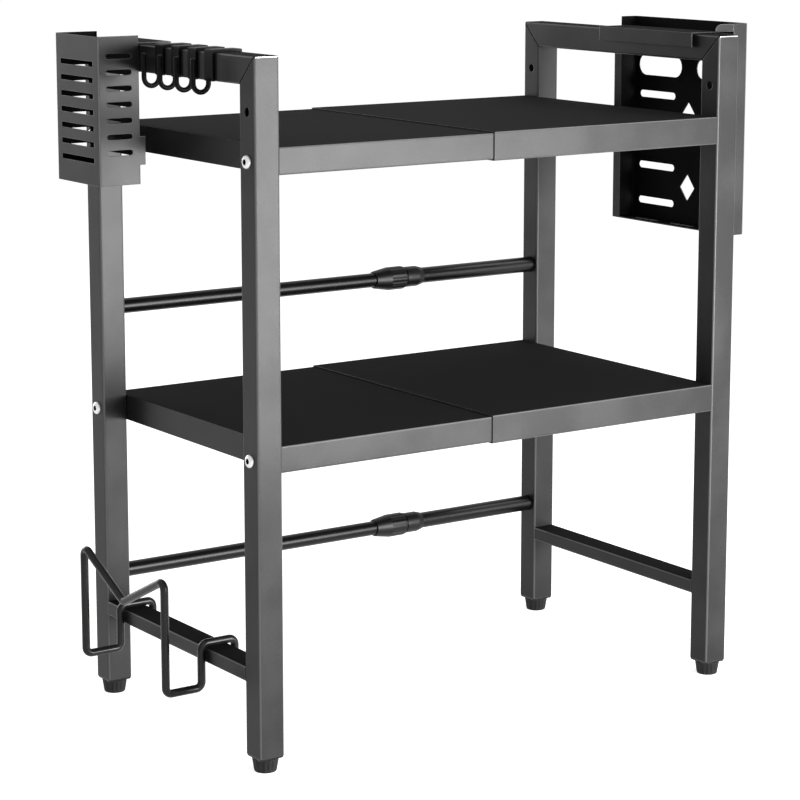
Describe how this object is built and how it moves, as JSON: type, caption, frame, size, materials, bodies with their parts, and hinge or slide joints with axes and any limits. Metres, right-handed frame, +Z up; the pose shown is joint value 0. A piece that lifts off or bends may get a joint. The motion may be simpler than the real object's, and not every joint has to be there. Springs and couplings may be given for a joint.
{
  "type": "expandable kitchen rack",
  "caption": "Width-adjustable two-tier metal counter rack with telescoping shelves and rods, side utensil box, rail hooks, board holder and wire lid rack.",
  "frame": {"origin": "on the floor, below the middle of the whole rack with its hung pieces, at the pictured width", "axes": "+X along the width towards the board holder, +Y from the front to the back, +Z up"},
  "size_m": [0.6078, 0.306, 0.642],
  "materials": {
    "powder_coated_steel": "satin black powder coat",
    "zinc_plated_steel": "bright zinc plate",
    "black_nylon": "moulded, fine grain",
    "black_rubber": "matt"
  },
  "bodies": {
    "left_half": {"left_front_post": "powder_coated_steel", "left_rear_post": "powder_coated_steel", "left_top_rail": "powder_coated_steel", "left_bottom_rail": "powder_coated_steel", "upper_shelf_left_panel": "powder_coated_steel", "lower_shelf_left_panel": "powder_coated_steel", "left_shelf_screws": "zinc_plated_steel", "left_weld_nuts": "zinc_plated_steel", "upper_rod_inner_tube": "powder_coated_steel", "lower_rod_inner_tube": "powder_coated_steel", "left_foot_inserts": "black_nylon"},
    "right_half": {"right_front_post": "powder_coated_steel", "right_rear_post": "powder_coated_steel", "right_top_rail": "powder_coated_steel", "right_bottom_rail": "powder_coated_steel", "upper_shelf_right_panel": "powder_coated_steel", "lower_shelf_right_panel": "powder_coated_steel", "right_shelf_screws": "zinc_plated_steel", "right_weld_nuts": "zinc_plated_steel", "upper_rod_outer_tube": "powder_coated_steel", "lower_rod_outer_tube": "powder_coated_steel", "upper_lock_sleeve": "black_nylon", "lower_lock_sleeve": "black_nylon", "upper_lock_collet": "black_nylon", "lower_lock_collet": "black_nylon", "right_foot_inserts": "black_nylon"},
    "upper_lock_nut": {"upper_lock_nut": "black_nylon"},
    "lower_lock_nut": {"lower_lock_nut": "black_nylon"},
    "left_front_foot": {"left_front_foot": "black_rubber"},
    "left_rear_foot": {"left_rear_foot": "black_rubber"},
    "right_front_foot": {"right_front_foot": "black_rubber"},
    "right_rear_foot": {"right_rear_foot": "black_rubber"},
    "rail_hook_1": {"rail_hook_1": "black_nylon"},
    "rail_hook_2": {"rail_hook_2": "black_nylon"},
    "rail_hook_3": {"rail_hook_3": "black_nylon"},
    "rail_hook_4": {"rail_hook_4": "black_nylon"},
    "utensil_box": {"utensil_box": "powder_coated_steel", "utensil_box_hook": "powder_coated_steel"},
    "board_holder": {"board_holder": "powder_coated_steel", "board_holder_hook": "powder_coated_steel"},
    "wire_lid_rack": {"wire_lid_rack": "powder_coated_steel"}
  },
  "joints": [
    {"name": "width_slide", "type": "slide", "parent": "left_half", "child": "right_half", "axis": [1, 0, 0], "range_m": [-0.1, 0.06]},
    {"name": "upper_lock_turn", "type": "hinge", "parent": "right_half", "child": "upper_lock_nut", "pos_m": [0.0569, 0.1405, 0.378], "axis": [1, 0, 0], "range_deg": [0, 270]},
    {"name": "lower_lock_turn", "type": "hinge", "parent": "right_half", "child": "lower_lock_nut", "pos_m": [0.0569, 0.1405, 0.1195], "axis": [1, 0, 0], "range_deg": [0, 270]},
    {"name": "left_front_foot_turn", "type": "hinge", "parent": "left_half", "child": "left_front_foot", "pos_m": [-0.2466, -0.1405, 0], "axis": [0, 0, 1], "continuous": true},
    {"name": "left_rear_foot_turn", "type": "hinge", "parent": "left_half", "child": "left_rear_foot", "pos_m": [-0.2466, 0.1405, 0], "axis": [0, 0, 1], "continuous": true},
    {"name": "right_front_foot_turn", "type": "hinge", "parent": "right_half", "child": "right_front_foot", "pos_m": [0.2684, -0.1405, 0], "axis": [0, 0, 1], "continuous": true},
    {"name": "right_rear_foot_turn", "type": "hinge", "parent": "right_half", "child": "right_rear_foot", "pos_m": [0.2684, 0.1405, 0], "axis": [0, 0, 1], "continuous": true},
    {"name": "rail_hook_1_slide", "type": "slide", "parent": "left_half", "child": "rail_hook_1", "axis": [0, 1, 0], "range_m": [-0.05, 0.007]},
    {"name": "rail_hook_2_slide", "type": "slide", "parent": "left_half", "child": "rail_hook_2", "axis": [0, 1, 0], "range_m": [-0.007, 0.007]},
    {"name": "rail_hook_3_slide", "type": "slide", "parent": "left_half", "child": "rail_hook_3", "axis": [0, 1, 0], "range_m": [-0.007, 0.007]},
    {"name": "rail_hook_4_slide", "type": "slide", "parent": "left_half", "child": "rail_hook_4", "axis": [0, 1, 0], "range_m": [-0.007, 0.03]},
    {"name": "utensil_box_lift", "type": "slide", "parent": "left_half", "child": "utensil_box", "axis": [0, 0, 1], "range_m": [0, 0.03]},
    {"name": "board_holder_lift", "type": "slide", "parent": "right_half", "child": "board_holder", "axis": [0, 0, 1], "range_m": [0, 0.03]},
    {"name": "wire_lid_rack_lift", "type": "slide", "parent": "left_half", "child": "wire_lid_rack", "axis": [0, 0, 1], "range_m": [0, 0.03]}
  ]
}
